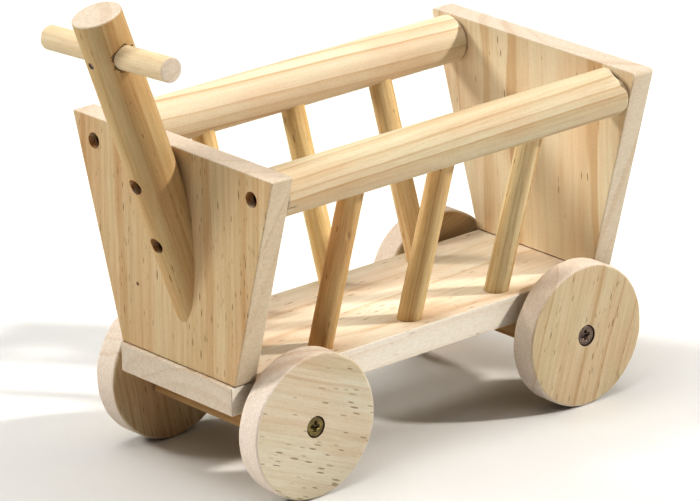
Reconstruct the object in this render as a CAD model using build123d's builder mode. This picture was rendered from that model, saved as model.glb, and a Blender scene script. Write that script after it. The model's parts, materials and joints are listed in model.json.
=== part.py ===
from build123d import *
import os
from math import hypot, radians, sqrt, tan

# A small ladder wagon in plain pine: a base board on two axle beams, two end panels that widen towards
# the top, a round rail on each side with three leaning spindles, a fixed pull handle and four disc wheels.
# Frame: +X forward (the handle's end), +Y to the wagon's left, +Z up, millimetres.
# The origin is on the floor, in the middle of the whole outline.

# ---------------------------------------------------------------- driving dimensions
# base board
board_length = 201.0
board_width = 69.0
board_thickness = 12.0
board_edge_radius = 0.6

# wheels
wheel_diameter = 60.0
wheel_thickness = 11.5
wheel_edge_radius = 1.2
wheel_bore_clearance = 0.08
wheel_side_gap = 0.5
countersink_gap = 0.35

# axle beams
axle_spacing = 143.0
beam_length = 76.5
beam_width = 20.0
beam_height = 15.0
beam_edge_radius = 0.5

# end panels
panel_thickness = 10.5
panel_height = 90.5
panel_bottom_width = 70.0
panel_top_width = 123.0
panel_inset = 1.5
front_corner_radius = 0.8
rear_corner_radius = 1.4
panel_edge_radius = 0.5

# side rails
rail_diameter = 20.0
rail_axis_spacing = 97.0
rail_edge_radius = 1.5

# spindles
spindle_diameter = 10.0
spindle_pitch = 46.5
spindle_foot_spacing = 47.6
spindle_foot_depth = 7.5
spindle_rail_depth = 7.0

# pull handle
pole_diameter = 20.0
pole_lean = 17.5
pole_side_lean = 3.2
pole_root_drop = 38.5
pole_root_offset = 2.1
pole_reach = 102.5
pole_edge_radius = 0.8
crossbar_diameter = 10.0
crossbar_length = 75.0
crossbar_reach = 85.0
crossbar_edge_radius = 0.5
pin_diameter = 1.8
pin_length = 16.0
pin_head_diameter = 3.0
pin_head_thickness = 0.8
pin_head_recess = 0.5

# wood screws: head, shank, core and length, then the plain stretch under the head
wheel_screw = dict(head=8.0, shank=4.0, core=2.8, length=35.0, plain=12.5)
rail_screw = dict(head=6.0, shank=3.0, core=2.1, length=25.0, plain=6.5)
handle_screw = dict(head=6.0, shank=3.0, core=2.1, length=15.0, plain=5.5)
panel_screw = dict(head=7.0, shank=3.5, core=2.4, length=30.0, plain=12.0)
beam_screw = dict(head=7.0, shank=3.5, core=2.4, length=23.0, plain=15.0)
screw_half_angle = 45.0
thread_pitch = 1.8
screw_tip_length = 3.0
head_rim = 0.25
pilot_spare = 1.0

# where the screws sit
wheel_screw_recess = 0.4
counterbore_diameter = 6.6
rail_counterbore_depth = 3.6
handle_seat = 7.0
handle_screw_drops = (12.5, 38.0)
panel_screw_spacing = 40.0
beam_screw_spacing = 18.0
underside_screw_recess = 0.3

# cross recess of every screw, as shares of its head
recess_span = 0.56
recess_width = 0.15
recess_depth = 0.24
recess_taper = 14.0

# ---------------------------------------------------------------- derived places
wheel_radius = wheel_diameter / 2
board_bottom = wheel_radius + beam_height / 2
board_top = board_bottom + board_thickness
panel_top = board_top + panel_height
rail_height = panel_top - rail_diameter / 2
wheel_inner = beam_length / 2 + wheel_side_gap
wheel_outer = wheel_inner + wheel_thickness

lean_slope = tan(radians(pole_lean))
side_slope = tan(radians(pole_side_lean))
pole_axis_length = sqrt(lean_slope**2 + side_slope**2 + 1)
pole_forward = lean_slope / pole_axis_length
pole_front_radius = (pole_diameter / 2 - pole_edge_radius) * sqrt(1 - pole_forward**2)
handle_overhang = (pole_reach - pole_edge_radius) * pole_forward + pole_front_radius + pole_edge_radius

front_reach = board_length / 2 - panel_inset + handle_overhang
rear_reach = max(board_length / 2, axle_spacing / 2 + wheel_radius)
board_centre = (rear_reach - front_reach) / 2
front_face = board_centre + board_length / 2 - panel_inset
rear_face = board_centre - board_length / 2 + panel_inset
bay_length = front_face - rear_face - 2 * panel_thickness
root_height = panel_top - pole_root_drop

spindle_rise = rail_height - board_top
spindle_run = (rail_axis_spacing - spindle_foot_spacing) / 2
spindle_span = hypot(spindle_rise, spindle_run)

pole_plane = Plane(
    origin=(front_face, pole_root_offset, root_height),
    x_dir=(0, 1, side_slope),
    z_dir=(lean_slope, -side_slope, 1),
)
pole_foot_depth = pole_diameter / lean_slope
pin_direction = -pole_plane.y_dir
pin_seat = pole_plane.offset(crossbar_reach).origin + pin_direction * (
    pole_diameter / 2 - pin_head_recess
)

sides = {"left": 1, "right": -1}
ends = {"front": 1, "rear": -1}
spindle_rows = {"front": spindle_pitch, "middle": 0.0, "rear": -spindle_pitch}


def screw_plane(x, y, z, direction):
    """Plane at a screw's head, with its normal pointing out of the wood."""
    return Plane(origin=(x, y, z), z_dir=direction)


def spindle_plane(row, side):
    """Plane at a spindle's foot on the board's top, with its normal along the spindle."""
    return Plane(
        origin=(board_centre + spindle_rows[row], sides[side] * spindle_foot_spacing / 2, board_top),
        z_dir=(0, sides[side] * spindle_run, spindle_rise),
    )


def pole_axis_y(height):
    """How far sideways the pole's axis is at a height above the floor."""
    return pole_root_offset - (height - root_height) * side_slope


wheel_screw_planes = {
    (end, side): screw_plane(
        board_centre + ends[end] * axle_spacing / 2,
        sides[side] * (wheel_outer - wheel_screw_recess),
        wheel_radius,
        (0, sides[side], 0),
    )
    for end in ends
    for side in sides
}
rail_screw_planes = {
    (end, side): screw_plane(
        (front_face if end == "front" else rear_face) - ends[end] * rail_counterbore_depth,
        sides[side] * rail_axis_spacing / 2,
        rail_height,
        (ends[end], 0, 0),
    )
    for end in ends
    for side in sides
}
handle_screw_planes = {
    name: screw_plane(front_face + handle_seat, pole_axis_y(panel_top - drop), panel_top - drop, (1, 0, 0))
    for name, drop in zip(("upper", "lower"), handle_screw_drops)
}
panel_screw_planes = {
    end: [
        screw_plane(
            (front_face if end == "front" else rear_face) - ends[end] * panel_thickness / 2,
            y,
            board_bottom + underside_screw_recess,
            (0, 0, -1),
        )
        for y in (-panel_screw_spacing / 2, panel_screw_spacing / 2)
    ]
    for end in ends
}
beam_screw_planes = {
    end: [
        screw_plane(
            board_centre + ends[end] * axle_spacing / 2,
            y,
            board_bottom - beam_height + underside_screw_recess,
            (0, 0, -1),
        )
        for y in (-beam_screw_spacing / 2, beam_screw_spacing / 2)
    ]
    for end in ends
}


# ---------------------------------------------------------------- shared shapes
def head_depth(screw):
    """Depth of a countersunk head, from its rim to the plain shank."""
    return head_rim + (screw["head"] - screw["shank"]) / 2 / tan(radians(screw_half_angle))


def wood_screw(screw):
    """A countersunk wood screw along Z, with its head's face at z = 0 and its tip below."""
    head, shank, core = screw["head"] / 2, screw["shank"] / 2, screw["core"] / 2
    outline = [(0, 0), (head, 0), (head, -head_rim), (shank, -head_depth(screw)), (shank, -screw["plain"])]
    depth = screw["plain"]
    while depth + thread_pitch <= screw["length"] - screw_tip_length:
        outline += [(core, -depth - thread_pitch / 4), (core, -depth - thread_pitch / 2)]
        outline += [(shank, -depth - thread_pitch)]
        depth += thread_pitch
    outline += [(core, -depth - thread_pitch / 4), (0, -screw["length"])]
    with BuildPart() as body:
        with BuildSketch(Plane.XZ):
            with BuildLine():
                Polyline(outline, close=True)
            make_face()
        revolve(axis=Axis.Z)
        with BuildSketch(Plane.XY):
            Rectangle(screw["head"] * recess_span, screw["head"] * recess_width)
            Rectangle(screw["head"] * recess_width, screw["head"] * recess_span)
        extrude(amount=-screw["head"] * recess_depth, taper=recess_taper, mode=Mode.SUBTRACT)
    return body.part


def cut_rod(plane, radius, depth):
    """Cut a round hole from a plane, along its normal, or against it where the depth is negative."""
    with BuildSketch(plane) as section:
        Circle(radius)
    extrude(section.sketch, amount=depth, mode=Mode.SUBTRACT)


def cut_pilot(plane, screw, extra=pilot_spare):
    """Cut the pilot hole that a screw's thread bites into, from its head's plane down past its tip."""
    cut_rod(plane, screw["core"] / 2, -(screw["length"] + extra))


def cut_countersink(plane, screw, gap=0.0, through=0.0, shank_gap=0.0):
    """Cut a screw's countersink and clear the wood above its head."""
    seat = screw["head"] / 2 + gap
    with Locations(plane.offset(-head_rim)):
        CounterSinkHole(
            radius=screw["shank"] / 2 + shank_gap,
            counter_sink_radius=seat,
            depth=through or screw["plain"],
            counter_sink_angle=2 * screw_half_angle,
        )
    cut_rod(plane, seat, -head_rim)
    cut_rod(plane, seat, 2 * underside_screw_recess + wheel_screw_recess)


def finish(name, part):
    """Label a finished piece and write it."""
    part.label = name
    export_step(part, f"parts/{name}.step")


def write_screws(name, screw, planes):
    """Write one node that holds a screw at each plane."""
    with BuildPart() as screws:
        with Locations(*planes):
            add(wood_screw(screw))
    finish(name, screws.part)


os.makedirs("parts", exist_ok=True)

# ---------------------------------------------------------------- base board
with BuildPart() as base_board:
    with BuildSketch(Plane.XY.offset(board_bottom)):
        with Locations((board_centre, 0)):
            Rectangle(board_length, board_width)
    extrude(amount=board_thickness)
    fillet(base_board.edges(), radius=board_edge_radius)
    for row in spindle_rows:
        for side in sides:
            cut_rod(spindle_plane(row, side), spindle_diameter / 2, -spindle_foot_depth)
            cut_rod(spindle_plane(row, side), spindle_diameter / 2, spindle_diameter)
    for end in ends:
        for plane in panel_screw_planes[end]:
            cut_countersink(plane, panel_screw, through=board_thickness)
        for plane in beam_screw_planes[end]:
            cut_pilot(plane, beam_screw)
finish("base_board", base_board.part)

# ---------------------------------------------------------------- axle beams
for end in ends:
    with BuildPart() as axle_beam:
        with BuildSketch(Plane.XY.offset(board_bottom)):
            with Locations((board_centre + ends[end] * axle_spacing / 2, 0)):
                Rectangle(beam_width, beam_length)
        extrude(amount=-beam_height)
        fillet(axle_beam.edges(), radius=beam_edge_radius)
        for side in sides:
            cut_pilot(wheel_screw_planes[end, side], wheel_screw)
        for plane in beam_screw_planes[end]:
            cut_countersink(plane, beam_screw, through=beam_height)
    finish(f"{end}_axle_beam", axle_beam.part)

# ---------------------------------------------------------------- end panels
for end in ends:
    outer_face = front_face if end == "front" else rear_face
    corner_radius = front_corner_radius if end == "front" else rear_corner_radius
    with BuildPart() as panel:
        with BuildSketch(Plane.YZ.offset(outer_face)) as outline:
            with BuildLine():
                Polyline(
                    (-panel_bottom_width / 2, board_top),
                    (panel_bottom_width / 2, board_top),
                    (panel_top_width / 2, panel_top),
                    (-panel_top_width / 2, panel_top),
                    close=True,
                )
            make_face()
            fillet(outline.vertices().group_by(Axis.Z)[-1], radius=corner_radius)
        extrude(amount=-ends[end] * panel_thickness)
        long_edges = panel.edges().filter_by(Axis.X, reverse=True)
        fillet(long_edges - long_edges.group_by(Axis.Z)[0], radius=panel_edge_radius)
        for side in sides:
            plane = rail_screw_planes[end, side]
            cut_rod(plane, counterbore_diameter / 2, rail_counterbore_depth)
            cut_countersink(plane, rail_screw, through=panel_thickness)
        for plane in panel_screw_planes[end]:
            cut_pilot(plane, panel_screw)
        if end == "front":
            for plane in handle_screw_planes.values():
                cut_pilot(plane, handle_screw)
    finish(f"{end}_panel", panel.part)

# ---------------------------------------------------------------- side rails
for side in sides:
    with BuildPart() as rail:
        with BuildSketch(Plane.YZ.offset(rear_face + panel_thickness)):
            with Locations((sides[side] * rail_axis_spacing / 2, rail_height)):
                Circle(rail_diameter / 2)
        extrude(amount=bay_length)
        fillet(rail.edges().filter_by(GeomType.CIRCLE), radius=rail_edge_radius)
        for row in spindle_rows:
            seat = spindle_span - rail_diameter / 2 + spindle_rail_depth
            cut_rod(spindle_plane(row, side), spindle_diameter / 2, seat)
        for end in ends:
            cut_pilot(rail_screw_planes[end, side], rail_screw)
    finish(f"{side}_rail", rail.part)

# ---------------------------------------------------------------- spindles
for row in spindle_rows:
    for side in sides:
        seat = spindle_span - rail_diameter / 2 + spindle_rail_depth
        with BuildPart() as spindle:
            with BuildSketch(spindle_plane(row, side).offset(-spindle_foot_depth)):
                Circle(spindle_diameter / 2)
            extrude(amount=spindle_foot_depth + seat)
        finish(f"{side}_spindle_{row}", spindle.part)

# ---------------------------------------------------------------- pull handle
with BuildPart() as handle_pole:
    with BuildSketch(pole_plane.offset(-2 * pole_foot_depth)):
        Circle(pole_diameter / 2)
    extrude(amount=2 * pole_foot_depth + pole_reach)
    fillet(handle_pole.edges().filter_by(GeomType.CIRCLE), radius=pole_edge_radius)
    split(bisect_by=Plane.YZ.offset(front_face), keep=Keep.TOP)
    crossbar_plane = Plane(
        origin=pole_plane.offset(crossbar_reach).origin,
        z_dir=pole_plane.x_dir,
    )
    with BuildSketch(crossbar_plane):
        Circle(crossbar_diameter / 2)
    extrude(amount=pole_diameter, both=True, mode=Mode.SUBTRACT)
    for plane in handle_screw_planes.values():
        cut_rod(plane, counterbore_diameter / 2, pole_reach)
        cut_countersink(plane, handle_screw, through=handle_screw["length"])
    cut_rod(Plane(origin=pin_seat, z_dir=pin_direction), pin_diameter / 2, -pin_length)
    cut_rod(Plane(origin=pin_seat, z_dir=pin_direction), pin_head_diameter / 2, -pin_head_thickness)
    cut_rod(Plane(origin=pin_seat, z_dir=pin_direction), pin_head_diameter / 2, pole_diameter)
finish("handle_pole", handle_pole.part)

with BuildPart() as handle_crossbar:
    with BuildSketch(crossbar_plane):
        Circle(crossbar_diameter / 2)
    extrude(amount=crossbar_length / 2, both=True)
    fillet(handle_crossbar.edges().filter_by(GeomType.CIRCLE), radius=crossbar_edge_radius)
    cut_rod(Plane(origin=pin_seat, z_dir=pin_direction), pin_diameter / 2, -pin_length)
finish("handle_crossbar", handle_crossbar.part)

with BuildPart() as crossbar_pin:
    with BuildSketch(Plane(origin=pin_seat, z_dir=pin_direction)):
        Circle(pin_head_diameter / 2)
    extrude(amount=-pin_head_thickness)
    with BuildSketch(Plane(origin=pin_seat, z_dir=pin_direction)):
        Circle(pin_diameter / 2)
    extrude(amount=-pin_length)
finish("crossbar_pin", crossbar_pin.part)

# ---------------------------------------------------------------- wheels
for end in ends:
    for side in sides:
        hub_plane = screw_plane(
            board_centre + ends[end] * axle_spacing / 2,
            sides[side] * wheel_inner,
            wheel_radius,
            (0, sides[side], 0),
        )
        with BuildPart() as wheel:
            with BuildSketch(hub_plane):
                Circle(wheel_radius)
            extrude(amount=wheel_thickness)
            fillet(wheel.edges(), radius=wheel_edge_radius)
            cut_countersink(
                wheel_screw_planes[end, side],
                wheel_screw,
                gap=countersink_gap,
                through=wheel_thickness,
                shank_gap=wheel_bore_clearance,
            )
        finish(f"wheel_{end}_{side}", wheel.part)
        write_screws(f"wheel_screw_{end}_{side}", wheel_screw, [wheel_screw_planes[end, side]])

# ---------------------------------------------------------------- fixing screws
for end in ends:
    for side in sides:
        write_screws(f"rail_screw_{end}_{side}", rail_screw, [rail_screw_planes[end, side]])
    write_screws(f"{end}_panel_screws", panel_screw, panel_screw_planes[end])
    write_screws(f"{end}_beam_screws", beam_screw, beam_screw_planes[end])
for name, plane in handle_screw_planes.items():
    write_screws(f"handle_screw_{name}", handle_screw, [plane])
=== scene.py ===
import json
from math import atan2, cos, exp, pi, radians, sin, sqrt

import bmesh
import bpy
from mathutils import Matrix, Vector, noise


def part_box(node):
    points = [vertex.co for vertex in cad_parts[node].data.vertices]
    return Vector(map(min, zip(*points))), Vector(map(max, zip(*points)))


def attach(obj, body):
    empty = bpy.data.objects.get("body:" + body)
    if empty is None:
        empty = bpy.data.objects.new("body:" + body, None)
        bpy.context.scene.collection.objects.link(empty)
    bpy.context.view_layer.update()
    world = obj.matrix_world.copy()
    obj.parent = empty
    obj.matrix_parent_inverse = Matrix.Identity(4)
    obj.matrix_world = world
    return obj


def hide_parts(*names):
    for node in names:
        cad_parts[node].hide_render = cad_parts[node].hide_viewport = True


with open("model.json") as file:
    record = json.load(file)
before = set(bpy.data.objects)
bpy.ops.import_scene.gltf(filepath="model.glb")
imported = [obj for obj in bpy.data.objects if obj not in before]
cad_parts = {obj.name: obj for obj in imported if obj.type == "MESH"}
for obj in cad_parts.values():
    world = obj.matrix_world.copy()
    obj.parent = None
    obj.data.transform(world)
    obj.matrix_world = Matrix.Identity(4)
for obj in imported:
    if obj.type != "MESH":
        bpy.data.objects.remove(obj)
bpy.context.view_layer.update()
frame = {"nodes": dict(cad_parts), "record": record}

MM = 0.001

# ---------------------------------------------------------------- camera
VIEW_AZIMUTH = 50.03  # degrees from +X towards +Y
VIEW_ELEVATION = 20.04
VIEW_ROLL = -1.42
VIEW_DISTANCE = 2.2264
VIEW_TARGET = Vector((-0.0099, -0.0013, 0.0736))
LENS = 286.8
SENSOR = 36.0
FARTHEST = 20

WORLD = 0.06  # strengths of the surroundings and of the four lights
KEY = 2.2
OVERHEAD = 1.4
FILL = 1.5
FRONT = 0.8
EXPOSURE = 0.17
GAMMA = 0.64
FLOOR_SIZE = 12


def make_camera():
    """A long lens at the wagon's front left, a little above it."""
    azimuth, elevation, roll = radians(VIEW_AZIMUTH), radians(VIEW_ELEVATION), radians(VIEW_ROLL)
    back = Vector((cos(azimuth) * cos(elevation), sin(azimuth) * cos(elevation), sin(elevation)))
    right = Vector((0, 0, 1)).cross(back).normalized()
    up = back.cross(right)
    turned_right = right * cos(roll) + up * sin(roll)
    turned_up = up * cos(roll) - right * sin(roll)
    data = bpy.data.cameras.new("camera")
    data.lens, data.sensor_width = LENS, SENSOR
    data.clip_end = FARTHEST
    camera = bpy.data.objects.new("camera", data)
    camera.matrix_world = Matrix.Translation(VIEW_TARGET + back * VIEW_DISTANCE) @ Matrix(
        (turned_right, turned_up, back)
    ).transposed().to_4x4()
    bpy.context.collection.objects.link(camera)
    bpy.context.scene.camera = camera


# ---------------------------------------------------------------- light and floor
def make_light(name, azimuth, elevation, strength, spread, colour):
    """A far light that comes from one direction, softened by its spread in degrees."""
    a, e = radians(azimuth), radians(elevation)
    direction = Vector((cos(a) * cos(e), sin(a) * cos(e), sin(e)))
    data = bpy.data.lights.new(name, "SUN")
    data.energy, data.angle, data.color = strength, radians(spread), colour
    light = bpy.data.objects.new(name, data)
    light.location = VIEW_TARGET + direction
    light.rotation_euler = direction.to_track_quat("Z", "Y").to_euler()
    bpy.context.collection.objects.link(light)


def make_surroundings():
    world = bpy.data.worlds.new("studio")
    world.use_nodes = True
    background = world.node_tree.nodes["Background"]
    background.inputs["Color"].default_value = (1.0, 0.84, 0.64, 1)
    background.inputs["Strength"].default_value = WORLD
    bpy.context.scene.world = world
    make_light("key", 136, 36, KEY, 5, (1.0, 0.985, 0.96))
    make_light("overhead", 180, 88, OVERHEAD, 60, (1.0, 1.0, 1.0))
    make_light("fill", -51, 33, FILL, 14, (1.0, 1.0, 0.98))
    make_light("front", -10, 60, FRONT, 50, (1.0, 1.0, 1.0))
    settings = bpy.context.scene.view_settings
    settings.view_transform = "Standard"
    settings.exposure, settings.gamma = EXPOSURE, GAMMA

    bpy.ops.mesh.primitive_plane_add(size=FLOOR_SIZE)
    floor = bpy.context.object
    floor.name = "floor"
    material = bpy.data.materials.new("floor")
    material.use_nodes = True
    shader = material.node_tree.nodes["Principled BSDF"]
    shader.inputs["Base Color"].default_value = (0.78, 0.78, 0.775, 1)
    shader.inputs["Roughness"].default_value = 0.9
    floor.data.materials.append(material)


# ---------------------------------------------------------------- materials
END_GRAIN = (0.745, 0.672, 0.58)
RIM_TONE = (0.87, 0.80, 0.73)
PAINTED_BORE_SHADE = (0.55, 0.31, 0.11)  # painted shade: the warm brown of the shaded wood inside a counterbore
TORN_GRAIN_AND_GAP_SHADE = (0.11, 0.06, 0.025)  # torn fibres, and painted shade in the gaps round the wheel screws' heads and round the crossbar
LATE_WOOD = (0.78, 0.62, 0.45)
GRAIN_DEPTH = 0.08 * MM
FILM_DEPTH = 0.03 * MM
RING_PROFILE = ((0.0, 0.12), (0.06, 0.0), (0.45, 0.04), (0.76, 0.34), (0.90, 0.95), (0.96, 1.0), (1.0, 0.12))


class Graph:
    """A material's node tree, with short calls that make and link nodes."""

    def __init__(self, name):
        self.material = bpy.data.materials.new(name)
        self.material.use_nodes = True
        self.tree = self.material.node_tree
        self.shader = self.tree.nodes["Principled BSDF"]

    def put(self, socket, value):
        if isinstance(value, bpy.types.NodeSocket):
            self.tree.links.new(value, socket)
        else:
            socket.default_value = value

    def node(self, kind, inputs=(), **settings):
        node = self.tree.nodes.new(kind)
        for key, value in settings.items():
            setattr(node, key, value)
        for key, value in dict(inputs).items():
            self.put(node.inputs[key], value)
        return node

    def math(self, operation, *values, clamp=False):
        inputs = dict(enumerate(values))
        return self.node("ShaderNodeMath", inputs, operation=operation, use_clamp=clamp).outputs[0]

    def vector(self, operation, *values):
        node = self.node("ShaderNodeVectorMath", dict(enumerate(values)), operation=operation)
        return node.outputs["Value"] if operation in ("DOT_PRODUCT", "LENGTH") else node.outputs[0]

    def stretch(self, vector, x, y, z):
        return self.vector("MULTIPLY", vector, (x, y, z))

    def noise(self, vector, scale=1.0, detail=2.0, roughness=0.5, output="Fac"):
        inputs = {"Vector": vector, "Scale": scale, "Detail": detail, "Roughness": roughness}
        return self.node("ShaderNodeTexNoise", inputs).outputs[output]

    def curve(self, value, *stops):
        """A smooth ramp of grey through (place, level) stops."""
        node = self.node("ShaderNodeValToRGB", {"Fac": value})
        ramp = node.color_ramp
        ramp.interpolation = "EASE"
        while len(ramp.elements) < len(stops):
            ramp.elements.new(0.5)
        for element, (place, level) in zip(ramp.elements, stops):
            element.position = place
            element.color = (level, level, level, 1)
        return node.outputs["Color"]

    def mix(self, factor, a, b, blend="MIX"):
        node = self.node("ShaderNodeMix", data_type="RGBA", blend_type=blend)
        self.put(node.inputs["Factor"], factor)
        self.put(node.inputs["A"], a)
        self.put(node.inputs["B"], b)
        return node.outputs["Result"]

    def shade(self, factor, colour, share):
        """The colour, darkened by factor towards a share of it, given in red, green and blue."""
        return self.mix(factor, colour, self.mix(1.0, colour, share + (1,), "MULTIPLY"))

    def facing(self, axis):
        """How squarely a face looks along an axis, from 0 to 1."""
        normal = self.node("ShaderNodeTexCoord").outputs["Normal"]
        return self.math("ABSOLUTE", self.vector("DOT_PRODUCT", normal, tuple(axis)))

    def finish(self, colour, roughness, height, depth, **constants):
        self.put(self.shader.inputs["Base Color"], colour)
        self.put(self.shader.inputs["Roughness"], roughness)
        bump = self.node("ShaderNodeBump", {"Height": height, "Strength": 1.0, "Distance": depth})
        self.put(self.shader.inputs["Normal"], bump.outputs["Normal"])
        for key, value in constants.items():
            self.shader.inputs[key.replace("_", " ")].default_value = value
        return self.material


def tinted(colour, share):
    """A colour times a share in red, green and blue, as a shader takes it."""
    return (*(c * k for c, k in zip(colour, share)), 1)


def log_places(g, grain, pith, seed):
    """Where a point is on the wagon and in the log, in millimetres, and which way the log runs."""
    along = Vector(grain).normalized()
    across = along.orthogonal().normalized()
    axes = zip("XYZ", (across, along.cross(across), along))
    place = g.stretch(g.node("ShaderNodeTexCoord").outputs["Object"], 1 / MM, 1 / MM, 1 / MM)
    point = g.vector("SUBTRACT", place, tuple(Vector(pith) / MM))
    turned = {name: g.vector("DOT_PRODUCT", point, tuple(axis)) for name, axis in axes}
    log = g.node("ShaderNodeCombineXYZ", turned).outputs[0]
    shifted = g.vector("ADD", log, (37.0 * seed, 0, 137.0 * seed))
    return place, log, shifted, along


def growth_rings(g, log, shifted, seed, ring, wander):
    """How much late wood there is: the trunk wanders, and each ring has its own width and strength."""
    drift = g.noise(g.stretch(shifted, 0.022, 0.022, 0.007), detail=2, output="Color")
    bend = g.stretch(g.vector("SUBTRACT", drift, (0.5, 0.5, 0.5)), wander, wander, 0)
    radius = g.vector("LENGTH", g.stretch(g.vector("ADD", log, bend), 1, 1, 0))
    by_radius = g.node("ShaderNodeCombineXYZ", {"X": radius, "Y": 3.1 * seed}).outputs[0]
    ripple = g.noise(g.stretch(shifted, 0.5, 0.5, 0.03), detail=3)
    turn = g.math("MULTIPLY_ADD", g.noise(by_radius, scale=0.10), 2.4, g.math("DIVIDE", radius, ring))
    turn = g.math("MULTIPLY_ADD", ripple, 0.14, turn)
    band = g.curve(g.math("FRACT", turn), *RING_PROFILE)
    whole = g.math("FLOOR", turn)
    power = g.node("ShaderNodeTexWhiteNoise", {"W": whole}, noise_dimensions="1D").outputs["Value"]
    return g.math("MULTIPLY", band, g.math("MULTIPLY_ADD", power, 0.7, 0.40))


def resin_flecks(g, shifted, band, flecks, bold):
    """Short dark dashes along the log, gathered in rows and in the darker bands."""
    cell = g.node("ShaderNodeTexVoronoi", {"Vector": g.stretch(shifted, 0.80, 0.80, 0.125), "Scale": 1.0})
    pick = g.node("ShaderNodeSeparateColor", {"Color": cell.outputs["Color"]})
    wide = g.math("MULTIPLY_ADD", pick.outputs["Green"], 0.13 * bold, 0.15 * bold)
    dash = g.math("SUBTRACT", 1.0, g.math("DIVIDE", cell.outputs["Distance"], wide), clamp=True)
    dash = g.curve(dash, (0.0, 0.0), (0.45, 1.0))
    rows = g.math("MULTIPLY_ADD", g.noise(g.stretch(shifted, 0.15, 0.15, 0.012), detail=1), 2.2, -1.1)
    likely = g.math("ADD", g.math("MULTIPLY_ADD", band, 0.30, rows), flecks)
    dash = g.math("MULTIPLY", dash, g.math("LESS_THAN", pick.outputs["Red"], likely))
    return g.math("MULTIPLY", dash, g.math("MULTIPLY_ADD", pick.outputs["Blue"], 0.6, 0.4))


def long_grain(g, shifted, band, fine, tone, late, streaks):
    """Colour of a face along the log: soft patches, late wood, broad streaks and fine fibres."""
    broad = g.noise(g.stretch(shifted, 0.42, 0.42, 0.012), detail=3, roughness=0.55)
    patch = g.noise(g.stretch(shifted, 0.06, 0.06, 0.02), detail=1)
    colour = g.mix(g.curve(patch, (0.40, 0.0), (0.62, 1.0)), tone + (1,), tinted(tone, (1.0, 0.95, 0.93)))
    colour = g.shade(g.math("MULTIPLY", band, late, clamp=True), colour, LATE_WOOD)
    broad = g.curve(broad, (0.36, 1.0), (0.60, 0.0))
    colour = g.shade(g.math("MULTIPLY", broad, streaks), colour, (0.86, 0.78, 0.66))
    fibres = g.curve(fine, (0.34, 1.0), (0.58, 0.0))
    return g.shade(g.math("MULTIPLY", fibres, streaks), colour, (0.84, 0.78, 0.70))


def end_grain(g, band, pores, saw, tone):
    """Colour of a face across the log: faint rings, open pores and fine saw lines."""
    colour = g.mix(g.math("MULTIPLY", band, 0.5), tone + (1,), tinted(tone, (0.88, 0.80, 0.72)))
    colour = g.shade(g.curve(pores, (0.35, 0.55), (0.55, 0.0)), colour, (0.84, 0.80, 0.76))
    return g.shade(g.curve(saw, (0.35, 0.45), (0.60, 0.0)), colour, (0.88, 0.84, 0.82))


def sawn_edge(g, colour, band, saw, axis, tone):
    """The colour, with the faces that look along the axis in the paler tone of a sawn edge. On the base
    board that tone also holds a painted highlight.
    """
    sawn = g.mix(g.math("MULTIPLY", band, 0.35), tone + (1,), tinted(tone, (0.90, 0.82, 0.74)))
    sawn = g.shade(g.curve(saw, (0.35, 0.5), (0.60, 0.0)), sawn, (0.93, 0.90, 0.86))
    return g.mix(g.curve(g.facing(axis), (0.35, 0.0), (0.85, 0.85)), colour, sawn)


def knot_core(g, place, knot, size):
    """Where a small knot is, with an uneven outline."""
    away = g.vector("SUBTRACT", place, tuple(Vector(knot) / MM))
    swirl = g.noise(place, scale=1.4, detail=3)
    reach = g.math("DIVIDE", g.vector("LENGTH", away), size)
    reach = g.math("ADD", reach, g.math("MULTIPLY", swirl, 0.5))
    reach = g.math("MULTIPLY", reach, 0.5, clamp=True)
    return g.curve(reach, (0.0, 1.0), (0.45, 0.9), (0.62, 0.25), (0.9, 0.0))


def hole_tint(g, colour, place, spot, axis, radius, ragged, amount, shade):
    """The colour, tinted within a radius of the line through spot along axis: painted shade in a hole or
    gap, which round the crossbar also stands for torn grain. Its outline is ragged.
    """
    away = g.vector("CROSS_PRODUCT", g.vector("SUBTRACT", place, tuple(Vector(spot) / MM)), axis)
    torn = g.noise(place, scale=0.42, detail=4, roughness=0.6)
    torn = g.math("MULTIPLY_ADD", torn, ragged * 2, -ragged)
    inside = g.math("LESS_THAN", g.math("ADD", g.vector("LENGTH", away), torn), radius / MM)
    return g.mix(g.math("MULTIPLY", inside, amount), colour, shade + (1,))


def painted_gap_shadow(g, colour, place, foot, tone):
    """The colour, with a thin uneven dark line just above the height where the piece stands on another: a
    painted shadow in the gap.
    """
    level = g.node("ShaderNodeSeparateXYZ", {"Vector": place}).outputs["Z"]
    level = g.math("ADD", level, g.math("MULTIPLY", g.noise(place, scale=0.5, detail=3), 0.5))
    gap_shadow = g.math("LESS_THAN", level, foot / MM + 0.70)
    return g.mix(g.math("MULTIPLY", gap_shadow, 0.8), colour, tinted(tone, (0.26, 0.13, 0.06)))


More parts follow.
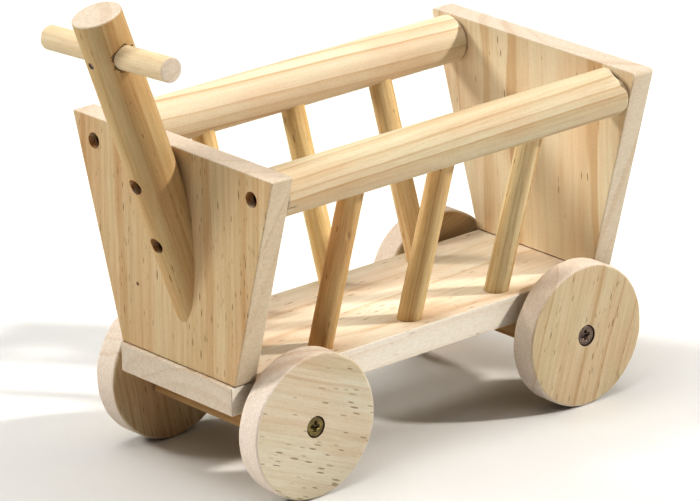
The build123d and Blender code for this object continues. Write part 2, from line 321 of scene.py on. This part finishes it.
def pine(
    name, grain, pith, seed, tone, ring=9.0, late=0.55, flecks=0.5, streaks=0.6, wander=16.0,
    bold=1.0, knots=(), holes=(), rim=None, edge=None, foot=None,
):
    """Sanded pine, cut from a log whose pith runs along grain through the point pith.

    The rings are cylinders round the pith, ring millimetres apart, so faces along the log show bands and
    faces across it show arcs. late is how strong the late wood is, flecks and streaks how many there are,
    wander how far the trunk wanders and bold how wide the flecks are. A knot is a point and its size, and a
    hole is what hole_tint takes after place; hole_tint paints shade into a hole or gap. Where rim is an
    axis, the faces round it were sawn and sanded across the grain, and are paler. Where edge is an axis and
    a tone, the faces that look along the axis are sawn edges of that tone. Where foot is a height, the piece
    stands on another there, and a painted shadow line marks the gap.
    """
    g = Graph(name)
    place, log, shifted, along = log_places(g, grain, pith, seed)
    band = growth_rings(g, log, shifted, seed, ring, wander)
    fine = g.noise(g.stretch(shifted, 2.6, 2.6, 0.075), detail=4, roughness=0.62)
    pores = g.noise(g.stretch(shifted, 5.0, 5.0, 1.5), detail=3, roughness=0.7)
    saw = g.noise(g.stretch(place, 0.35, 1.1, 1.1), detail=2)
    dash = resin_flecks(g, shifted, band, flecks, bold)
    end = g.curve(g.facing(along), (0.0, 0.0), (0.12, 0.0), (0.30, 0.5), (0.85, 1.0))
    if rim:
        end = g.math("MAXIMUM", end, g.curve(g.facing(rim), (0.15, 0.90), (0.75, 0.0)))

    colour = long_grain(g, shifted, band, fine, tone, late, streaks)
    if edge:
        colour = sawn_edge(g, colour, band, saw, *edge)
    colour = g.mix(end, colour, end_grain(g, band, pores, saw, RIM_TONE if rim else END_GRAIN))
    mottle = g.noise(place, scale=1.1, detail=4, roughness=0.7)
    colour = g.shade(g.curve(mottle, (0.35, 0.5), (0.60, 0.0)), colour, (0.93, 0.91, 0.88))
    dash = g.math("MULTIPLY", dash, g.math("MULTIPLY_ADD", end, -1.7, 1.0, clamp=True))
    colour = g.mix(g.math("MULTIPLY", dash, 0.8, clamp=True), colour, tinted(tone, (0.38, 0.25, 0.14)))
    for knot, size in knots:
        core = knot_core(g, place, knot, size)
        colour = g.mix(core, colour, tinted(tone, (0.22, 0.12, 0.06)))
        dash = g.math("MAXIMUM", dash, core)
    for hole in holes:
        colour = hole_tint(g, colour, place, *hole)
    # painted shadow in the gap where the piece stands on another
    if foot:
        colour = painted_gap_shadow(g, colour, place, foot, tone)

    height = g.math("MULTIPLY_ADD", fine, 0.6, g.math("MULTIPLY", band, 0.30))
    height = g.math("SUBTRACT", height, g.math("MULTIPLY", dash, 0.9))
    height = g.math("MULTIPLY_ADD", g.math("MULTIPLY", end, pores), 1.1, height)
    roughness = g.math("MULTIPLY_ADD", fine, 0.20, g.math("MULTIPLY_ADD", band, -0.10, 0.54))
    return g.finish(colour, roughness, height, GRAIN_DEPTH, Specular_IOR_Level=0.30)


def zinc(name, tint, seed):
    """Yellow-passivated steel: an uneven iridescent film with dull spots."""
    g = Graph(name)
    place = g.node("ShaderNodeTexCoord").outputs["Object"]
    point = g.vector("ADD", g.stretch(place, 1 / MM, 1 / MM, 1 / MM), (seed, seed * 2, seed * 3))
    film = g.noise(point, scale=0.45, detail=3)
    spots = g.noise(point, scale=3.0, detail=4, roughness=0.65)
    colour = g.mix(g.curve(film, (0.35, 0.0), (0.65, 1.0)), tint + (1,), tinted(tint, (0.72, 0.68, 0.80)))
    colour = g.mix(g.curve(spots, (0.55, 0.0), (0.75, 0.7)), colour, tinted(tint, (0.35, 0.32, 0.30)))
    roughness = g.math("MULTIPLY_ADD", spots, 0.30, 0.22)
    return g.finish(colour, roughness, spots, FILM_DEPTH, Metallic=1.0)


def centre(node):
    low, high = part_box(node)
    return (Vector(low) + Vector(high)) / 2


def across_box(node):
    """The narrowest size of a CAD node."""
    low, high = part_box(node)
    return min(b - a for a, b in zip(low, high))


def dress(node, material):
    """Give a CAD node its finished material."""
    mesh = frame["nodes"][node].data
    mesh.materials.clear()
    mesh.materials.append(material)


# ---------------------------------------------------------------- detailed pieces
HEAD_RIM = 0.25 * MM  # a screw head's upright edge
HEAD_RECESS = 0.40 * MM  # how far a wheel screw's head is below the wheel's face
SEAT_GAP = 0.35 * MM
BORE_GAP = 0.08 * MM
LIP = 0.25 * MM
THREAD_PITCH = 1.8 * MM
TIP_LENGTH = 3 * MM
BODY_OF = {node: body for body, nodes in frame["record"]["behaviour"]["bodies"].items() for node in nodes}


def lathe(outline, segments, closed=False):
    """A mesh turned round Z. outline(angle) gives (radius, height) pairs, which may change with the angle.

    A pair with no radius is a point on the axis. A closed outline joins its end to its start, as at a bore.
    """
    mesh = bmesh.new()
    columns = []
    for step in range(segments):
        angle = 2 * pi * step / segments
        columns.append([(r * cos(angle), r * sin(angle), h, r == 0) for r, h in outline(angle)])
    rows = []
    for row in zip(*columns):
        if row[0][3]:
            rows.append([mesh.verts.new(row[0][:3])] * segments)
        else:
            rows.append([mesh.verts.new(place[:3]) for place in row])
    for first, second in zip(rows, rows[1:] + rows[:1] if closed else rows[1:]):
        for step in range(segments):
            after = (step + 1) % segments
            corners = [first[step], first[after], second[after], second[step]]
            mesh.faces.new(list(dict.fromkeys(corners)))
    bmesh.ops.recalc_face_normals(mesh, faces=mesh.faces)
    return mesh


def add_piece(name, meshes, material, node):
    """Link turned meshes as one piece that stands for a CAD node and rides on its body."""
    whole = bmesh.new()
    for mesh in meshes:
        part = bpy.data.meshes.new("part")
        mesh.to_mesh(part)
        mesh.free()
        whole.from_mesh(part)
        bpy.data.meshes.remove(part)
    for face in whole.faces:
        face.smooth = True
    data = bpy.data.meshes.new(name)
    whole.to_mesh(data)
    whole.free()
    data.materials.append(material)
    piece = bpy.data.objects.new(name, data)
    bpy.context.collection.objects.link(piece)
    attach(piece, BODY_OF[node])
    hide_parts(node)


def wobble(*place):
    """Smooth noise at a place, about 0."""
    return noise.noise(Vector(place))


def basis(origin, axis, zero):
    """A matrix that takes Z to axis and X, where angles start, as near to zero as it can."""
    z = Vector(axis).normalized()
    y = z.cross(Vector(zero)).normalized()
    matrix = Matrix((y.cross(z), y, z)).transposed().to_4x4()
    return Matrix.Translation(origin) @ matrix


def arc(centre_radius, centre_height, size, start, stop, steps):
    """Points on a quarter round, between two angles in degrees."""
    turns = [radians(start + (stop - start) * k / steps) for k in range(steps + 1)]
    return [(centre_radius + size * cos(t), centre_height + size * sin(t)) for t in turns]


def rod_mesh(length, radius, matrix, seed, start_edge, end_edge, steps, segments, sanding, nicks=()):
    """A sanded dowel from 0 to length. Each end's edge rounding is a function of the angle.

    A nick is a torn place: its angle, its height, its half width in radians, its half length and its depth.
    """

    def torn(angle, h):
        depth = 0.0
        for at, height, wide, tall, deep in nicks:
            off = (angle - at + pi) % (2 * pi) - pi
            away = sqrt((off / wide) ** 2 + ((h - height) / tall) ** 2)
            away += 0.35 * wobble(angle * 9, h / MM, seed)
            depth += deep * max(0.0, 1 - away**2)
        return depth

    def uneven(angle, h):
        soft_bumps = wobble(2 * cos(angle) + seed, 2 * sin(angle), h / (9 * MM))
        return sanding * 0.5 * soft_bumps - torn(angle, h)

    def outline(angle):
        low, high = start_edge(angle), end_edge(angle)
        points = [(0, 0)] + [(radius * k / 6, 0) for k in range(1, 5)]
        points += arc(radius - low, low, low, -90, 0, 6)
        points += [(radius, low + (length - low - high) * k / steps) for k in range(1, steps)]
        points += arc(radius - high, length - high, high, 0, 90, 6)
        points += [(radius * k / 6, length) for k in range(4, 0, -1)] + [(0, length)]
        soft = [(r * (1 - 0.6 * sanding / radius), h) for r, h in points]
        return [(r + r / radius * uneven(angle, h), h) if r else (0, h) for r, h in soft]

    mesh = lathe(outline, segments)
    mesh.transform(matrix)
    return mesh


def rod_axis(node, radius, along, lean):
    """Where a leaning rod starts, which way it runs and how long it is, from the box of its CAD node.

    along is the index of the axis it mostly follows, lean the one it leans on, and both run from 0 for X.
    """
    low, high = (Vector(corner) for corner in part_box(node))
    size = high - low
    tilt = 0.1
    for _ in range(40):
        tilt = atan2(size[lean] - 2 * radius * cos(tilt), size[along] - 2 * radius * sin(tilt))
    length = sqrt((size[along] - 2 * radius * sin(tilt)) ** 2 + (size[lean] - 2 * radius * cos(tilt)) ** 2)
    return (low + high) / 2, tilt, length


def wheel_mesh(radius, thickness, head, matrix, seed):
    """A sawn and sanded disc: unevenly soft edges, a bore, and a screw's countersink with a crushed lip."""
    seat, bore = head / 2 + SEAT_GAP, head / 4 + BORE_GAP

    def outline(angle):
        c, s = cos(angle), sin(angle)
        inner = (1.15 + 0.45 * wobble(3 * c + seed, 3 * s, 0.2)) * MM
        outer = 1.05 + 0.50 * wobble(4 * c, 4 * s + seed, 7.1) + 0.15 * wobble(18 * c, 18 * s, seed)
        outer = outer * MM
        edge = radius - 0.05 * MM + 0.05 * MM * wobble(5 * c, 5 * s, seed)
        mouth = seat + LIP * (1 + 0.4 * wobble(6 * c, 6 * s, seed + 3))
        points = [(bore, 0), (bore + 2 * MM, 0), (radius * 0.4, 0), (radius * 0.7, 0)]
        points += arc(edge - inner, inner, inner, -90, 0, 7)
        points += [(edge, inner + (thickness - inner - outer) * k / 6) for k in range(1, 6)]
        points += arc(edge - outer, thickness - outer, outer, 0, 90, 7)
        points += [(radius * k, thickness) for k in (0.8, 0.6, 0.4, 0.25)]
        points += arc(mouth, thickness - (mouth - seat), mouth - seat, 90, 180, 4)
        bottom = thickness - HEAD_RECESS - HEAD_RIM
        points += [(seat, bottom), (bore, bottom - (seat - bore)), (bore, thickness / 3)]
        return points

    mesh = lathe(outline, 192, closed=True)
    mesh.transform(matrix)
    return mesh


def screw_mesh(head, length, plain, matrix, turned):
    """A countersunk wood screw with a helical thread: head's face at height 0, point at -length."""
    shank, core, top = head / 4, 0.172 * head, head / 2

    def cross(x, y):
        """How deep the stamped cross recess is at a point of the head's face, from 0 to 1."""
        a, b = abs(x * cos(turned) + y * sin(turned)), abs(y * cos(turned) - x * sin(turned))
        reach = 0.27 * head
        deepest = 0.0
        for run, side in ((a, b), (b, a)):
            half_width = 0.088 * head * (1.10 - 0.35 * run / reach)
            wall = 1 / (1 + exp((side - half_width) / (0.010 * head)))
            foot = 1 / (1 + exp((run - reach) / (0.012 * head)))
            deepest = max(deepest, wall * foot * (1 - 0.45 * run / reach))
        middle = 0.9 / (1 + exp((sqrt(x * x + y * y) - 0.105 * head) / (0.014 * head)))
        return max(deepest, middle)

    def outline(angle):
        c, s = cos(angle), sin(angle)
        points = [(0, -0.22 * head * cross(0, 0))]
        for k in range(1, 45):
            r = (top - 0.10 * MM) * k / 44
            dish = -0.10 * MM / (1 + exp((r - 0.40 * head) / (0.012 * head)))
            points.append((r, dish - 0.22 * head * cross(r * c, r * s)))
        points += [(top - 0.03 * MM, -0.04 * MM), (top, -0.12 * MM), (top, -HEAD_RIM)]
        points += [(shank, -HEAD_RIM - (top - shank))]
        points += [(shank, -plain)]
        steps = int((length - plain) / (THREAD_PITCH / 8))
        for k in range(1, steps):
            h = plain + (length - plain) * k / steps
            phase = (h / THREAD_PITCH - angle / (2 * pi)) % 1
            crest = max(0.0, 1 - abs(phase - 0.5) / 0.28)
            thin = min(1.0, (length - h) / TIP_LENGTH)
            start = min(1.0, (h - plain) / THREAD_PITCH)
            points.append(((core + (shank - core) * crest * start) * (0.12 + 0.88 * thin), -h))
        return points + [(0, -length)]

    mesh = lathe(outline, 96)
    mesh.transform(matrix)
    return mesh


make_camera()
make_surroundings()

# per piece: grain direction, the pith's place in millimetres from the piece's middle, and the wood's looks
PINES = {
    "base_board": dict(
        grain=(1, 0.01, 0), pith=(0, 12, -62), tone=(0.80, 0.75, 0.655), ring=7.0, flecks=0.20,
        # the pale tone of the board's sawn sides is partly their own colour, partly a painted highlight
        late=0.45, streaks=0.25, edge=((0, 1, 0), (0.875, 0.845, 0.785)),
    ),
    "front_axle_beam": dict(
        grain=(0, 1, 0), pith=(24, 0, -30), tone=(0.70, 0.53, 0.31), ring=5.0, flecks=0.3
    ),
    "rear_axle_beam": dict(
        grain=(0, 1, 0), pith=(-20, 0, -36), tone=(0.68, 0.51, 0.29), ring=5.5, flecks=0.3
    ),
    "front_panel": dict(
        grain=(0, 0.02, 1), pith=(-48, -6, 0), wander=10.0, tone=(0.70, 0.59, 0.415), ring=13.0,
        flecks=0.42, late=0.60, streaks=0.42, edge=((0, 1, 0), (0.71, 0.63, 0.49)), bold=1.15,
    ),
    "rear_panel": dict(
        grain=(0, -0.015, 1), pith=(-44, 14, 0), tone=(0.87, 0.795, 0.64), ring=10.0, flecks=0.05,
        late=0.65, streaks=0.25, edge=((0, 1, 0), (0.80, 0.735, 0.61)),
    ),
    "left_rail": dict(
        grain=(1, 0.03, -0.01), pith=(0, 13, -27), streaks=0.3, wander=2.5, tone=(0.725, 0.66, 0.515),
        ring=4.6, late=0.62, flecks=-1.0,
    ),
    "right_rail": dict(
        grain=(1, -0.02, 0.03), pith=(0, 13, -20), streaks=0.2, wander=4.0, tone=(0.80, 0.725, 0.59),
        ring=5.0, late=0.7, flecks=-1.0,
    ),
    "handle_pole": dict(
        grain=(0.3, -0.05, 1), pith=(21, -18, 0), streaks=0.45, wander=5.0, tone=(0.655, 0.525, 0.325),
        ring=8.0, late=0.70, flecks=0.1,
    ),
    "handle_crossbar": dict(
        grain=(0, 1, 0.05), pith=(10, 0, 20), streaks=0.4, wander=4.0, tone=(0.78, 0.72, 0.56),
        ring=5.0, late=0.4, flecks=-1.0,
    ),
    "wheel_front_left": dict(
        grain=(0.92, 0, 0.39), pith=(8, 34, -12), tone=(0.705, 0.665, 0.56), ring=9.0, late=0.35,
        flecks=0.5, streaks=0.35, bold=1.35,
    ),
    "wheel_rear_left": dict(
        grain=(-0.30, 0, 0.95), pith=(42, -16, 0), tone=(0.705, 0.63, 0.48), ring=10.0, late=0.55,
        flecks=0.40, streaks=0.4,
    ),
    # the far (right) wheels' tones are darker and warmer than the near ones': partly their own wood, partly
    # painted shade
    "wheel_front_right": dict(
        grain=(0.2, 0, 1), pith=(-30, -20, 0), tone=(0.70, 0.59, 0.42), ring=7.5, flecks=0.4
    ),
    "wheel_rear_right": dict(
        grain=(1, 0, -0.35), pith=(0, 22, 30), tone=(0.71, 0.60, 0.43), ring=7.0, flecks=0.4
    ),
}
SPINDLE_TONES = {
    ("left", "front"): (0.70, 0.53, 0.31),
    ("left", "middle"): (0.76, 0.62, 0.39),
    ("left", "rear"): (0.80, 0.71, 0.50),
    ("right", "front"): (0.84, 0.70, 0.45),
    ("right", "middle"): (0.80, 0.67, 0.42),
    ("right", "rear"): (0.80, 0.68, 0.46),
}
for number, row in enumerate(("front", "middle", "rear")):
    for side, sign in (("left", 1), ("right", -1)):
        PINES[f"{side}_spindle_{row}"] = dict(
            grain=(0.02, 0.306 * sign, 1), pith=(9 - 8 * number, 14 * sign, 0),
            tone=SPINDLE_TONES[side, row], ring=4.0, late=0.7, flecks=0.1, wander=5.0,
        )

# small dark knots, in millimetres from the middle of the piece they are in, with their size
KNOTS = {
    "front_panel": [((5.2, -23.9, -18.0), 0.75)],
    "left_spindle_front": [((0.8, 2.2, 14.0), 1.0), ((2.6, 5.5, 20.0), 0.7)],
    "rear_panel": [((5.2, 20.0, 12.0), 0.5)],
}
SCREWS_IN = {
    "front_panel": ("rail_screw_front_left", "rail_screw_front_right"),
    "rear_panel": ("rail_screw_rear_left", "rail_screw_rear_right"),
    "handle_pole": ("handle_screw_upper", "handle_screw_lower"),
}
woods = {}
for seed, (node, look) in enumerate(PINES.items()):
    middle = centre(node)
    look["pith"] = middle + Vector(look["pith"]) * MM
    knots = [(middle + Vector(knot) * MM, size) for knot, size in KNOTS.get(node, ())]
    # painted shade inside the counterbores of the sunk screws
    holes = [
        (centre(screw), (1, 0, 0), across_box(screw) / 2 + 0.3 * MM, 0.05, 0.85, PAINTED_BORE_SHADE)
        for screw in SCREWS_IN.get(node, ())
    ]
    if node.startswith("wheel"):
        screw = node.replace("wheel", "wheel_screw")
        look["rim"] = (0, 1, 0)
        # painted shadow in the gap round the wheel screw's head
        holes.append((centre(screw), (0, 1, 0), across_box(screw) / 2 + 0.45 * MM, 0.1, 0.92, TORN_GRAIN_AND_GAP_SHADE))
    if node.endswith("panel"):
        look["foot"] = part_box(node)[0][2]
    if node == "handle_pole":  # the grain tore where the crossbar's hole was drilled, and painted shade darkens the gap round the crossbar
        reach = across_box("handle_crossbar") / 2 + 0.40 * MM
        holes.append((centre("handle_crossbar"), (0, 1, 0.056), reach, 2.5, 0.70, TORN_GRAIN_AND_GAP_SHADE))
    woods[node] = pine(f"pine_{node}", seed=seed, knots=knots, holes=holes, **look)
for node in ("base_board", "front_axle_beam", "rear_axle_beam", "front_panel", "rear_panel", "handle_pole"):
    dress(node, woods[node])

BRASSY = zinc("zinc_yellow", (0.36, 0.31, 0.15), 1)
STEELY = zinc("zinc_grey", (0.34, 0.28, 0.22), 5)
# painted shade: the sunk screws' zinc is darkened to stand for the shade in their holes
DARKENED_ZINC_FOR_SHADE = zinc("zinc_painted_shade", (0.13, 0.10, 0.065), 9)
dress("crossbar_pin", STEELY)

# wheels
SIDES = {"left": 1, "right": -1}
ENDS = {"front": 1, "rear": -1}
UP = (0, 0, 1)
for seed, (end, side) in enumerate((end, side) for end in ENDS for side in SIDES):
    node, sign = f"wheel_{end}_{side}", SIDES[side]
    low, high = (Vector(corner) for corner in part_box(node))
    middle = (low + high) / 2
    inner = Vector((middle.x, low.y if sign > 0 else high.y, middle.z))
    head = across_box(f"wheel_screw_{end}_{side}")
    disc = wheel_mesh((high.x - low.x) / 2, high.y - low.y, head, basis(inner, (0, sign, 0), UP), seed * 4.7)
    add_piece(f"{node}_disc", [disc], woods[node], node)

# rails: the near one was chipped at its rear end, and torn at its front end when it was sawn
NEAR_CHIP = 5.5  # how far the rounding of the rear end is widened, in millimetres
FAR_CHIP = 1.2
CHIP_TURN = 0.45  # the chip's angle below the rail's top, and how wide it is, in radians
CHIP_SPREAD = 0.60
for seed, (side, sign) in enumerate(SIDES.items()):
    node = f"{side}_rail"
    low, high = (Vector(corner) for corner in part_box(node))
    middle = (low + high) / 2
    chip = NEAR_CHIP if side == "left" else FAR_CHIP

    def rear_edge(angle, chip=chip, seed=seed):
        off = (angle + CHIP_TURN + pi) % (2 * pi) - pi
        rounding = 1.3 + chip * exp(-((off / CHIP_SPREAD) ** 2))
        return (rounding + 0.3 * wobble(4 * cos(angle), 4 * sin(angle), seed)) * MM

    def front_edge(angle, seed=seed):
        return (1.0 + 0.4 * wobble(4 * cos(angle), 4 * sin(angle), seed + 9)) * MM

    length = high.x - low.x
    tears = [(-2.0, length - 2.6 * MM, 0.07, 2.8 * MM, 1.1 * MM)] if side == "left" else ()
    place = basis((low.x, middle.y, middle.z), (1, 0, 0), UP)
    rod = rod_mesh(
        length, (high.z - low.z) / 2, place, seed * 3.3, rear_edge, front_edge,
        steps=180, segments=120, sanding=0.12 * MM, nicks=tears,
    )
    add_piece(f"{node}_rod", [rod], woods[node], node)


def even_edge(angle):
    """The edge rounding of a dowel's end, nearly the same all round."""
    return (0.45 + 0.2 * wobble(3 * cos(angle), 3 * sin(angle), 5)) * MM


# spindles and crossbar: thinner dowels, each leaning its own way
for seed, (row, side) in enumerate((row, side) for row in ("front", "middle", "rear") for side in SIDES):
    node = f"{side}_spindle_{row}"
    low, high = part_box(node)
    radius = (high[0] - low[0]) / 2
    middle, tilt, length = rod_axis(node, radius, 2, 1)
    axis = Vector((0, SIDES[side] * sin(tilt), cos(tilt)))
    tears = [(1.3, 0.72 * length, 0.16, 2.6 * MM, 0.9 * MM)] if node == "left_spindle_front" else ()
    place = basis(middle - axis * length / 2, axis, (1, 0, 0))
    rod = rod_mesh(
        length, radius, place, 20 + seed * 1.7, even_edge, even_edge,
        steps=90, segments=64, sanding=0.16 * MM, nicks=tears,
    )
    add_piece(f"{node}_rod", [rod], woods[node], node)

low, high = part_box("handle_crossbar")
radius = (high[0] - low[0]) / 2
middle, tilt, length = rod_axis("handle_crossbar", radius, 1, 2)
axis = Vector((0, cos(tilt), sin(tilt)))
place = basis(middle - axis * length / 2, axis, UP)
rod = rod_mesh(
    length, radius, place, 41, even_edge, even_edge, steps=80, segments=64, sanding=0.12 * MM
)
add_piece("handle_crossbar_rod", [rod], woods["handle_crossbar"], "handle_crossbar")

# screws: the node, where the head points, the plain stretch in millimetres and how many share the node
SCREWS = [(f"wheel_screw_{end}_{side}", (0, SIDES[side], 0), 12.5, 1) for end in ENDS for side in SIDES]
SCREWS += [(f"rail_screw_{end}_{side}", (ENDS[end], 0, 0), 6.5, 1) for end in ENDS for side in SIDES]
SCREWS += [(f"handle_screw_{name}", (1, 0, 0), 5.5, 1) for name in ("upper", "lower")]
SCREWS += [(f"{end}_panel_screws", (0, 0, -1), 12.0, 2) for end in ENDS]
SCREWS += [(f"{end}_beam_screws", (0, 0, -1), 15.0, 2) for end in ENDS]
TURNS = (-0.2, 0.9, 0.1, 1.2, 0.6)  # how far each was driven, in radians
for number, (node, out, plain, count) in enumerate(SCREWS):
    low, high = (Vector(corner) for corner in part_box(node))
    size, middle, out = high - low, (low + high) / 2, Vector(out)
    length = abs(size.dot(out))
    head = size.y if out.x else size.x
    face = middle + out * length / 2
    spots = [face]
    if count == 2:
        spots = [Vector((face.x, y, face.z)) for y in (low.y + head / 2, high.y - head / 2)]
    zero = (1, 0, 0) if out.z else UP
    meshes = [
        screw_mesh(head, length, plain * MM, basis(spot, out, zero), TURNS[number % len(TURNS)] + 0.5 * k)
        for k, spot in enumerate(spots)
    ]
    film = STEELY if "rear" in node else BRASSY
    # painted shade: the sunk screws take the darkened zinc
    if node.startswith(("rail", "handle")):
        film = DARKENED_ZINC_FOR_SHADE
    add_piece(f"{node}_steel", meshes, film, node)
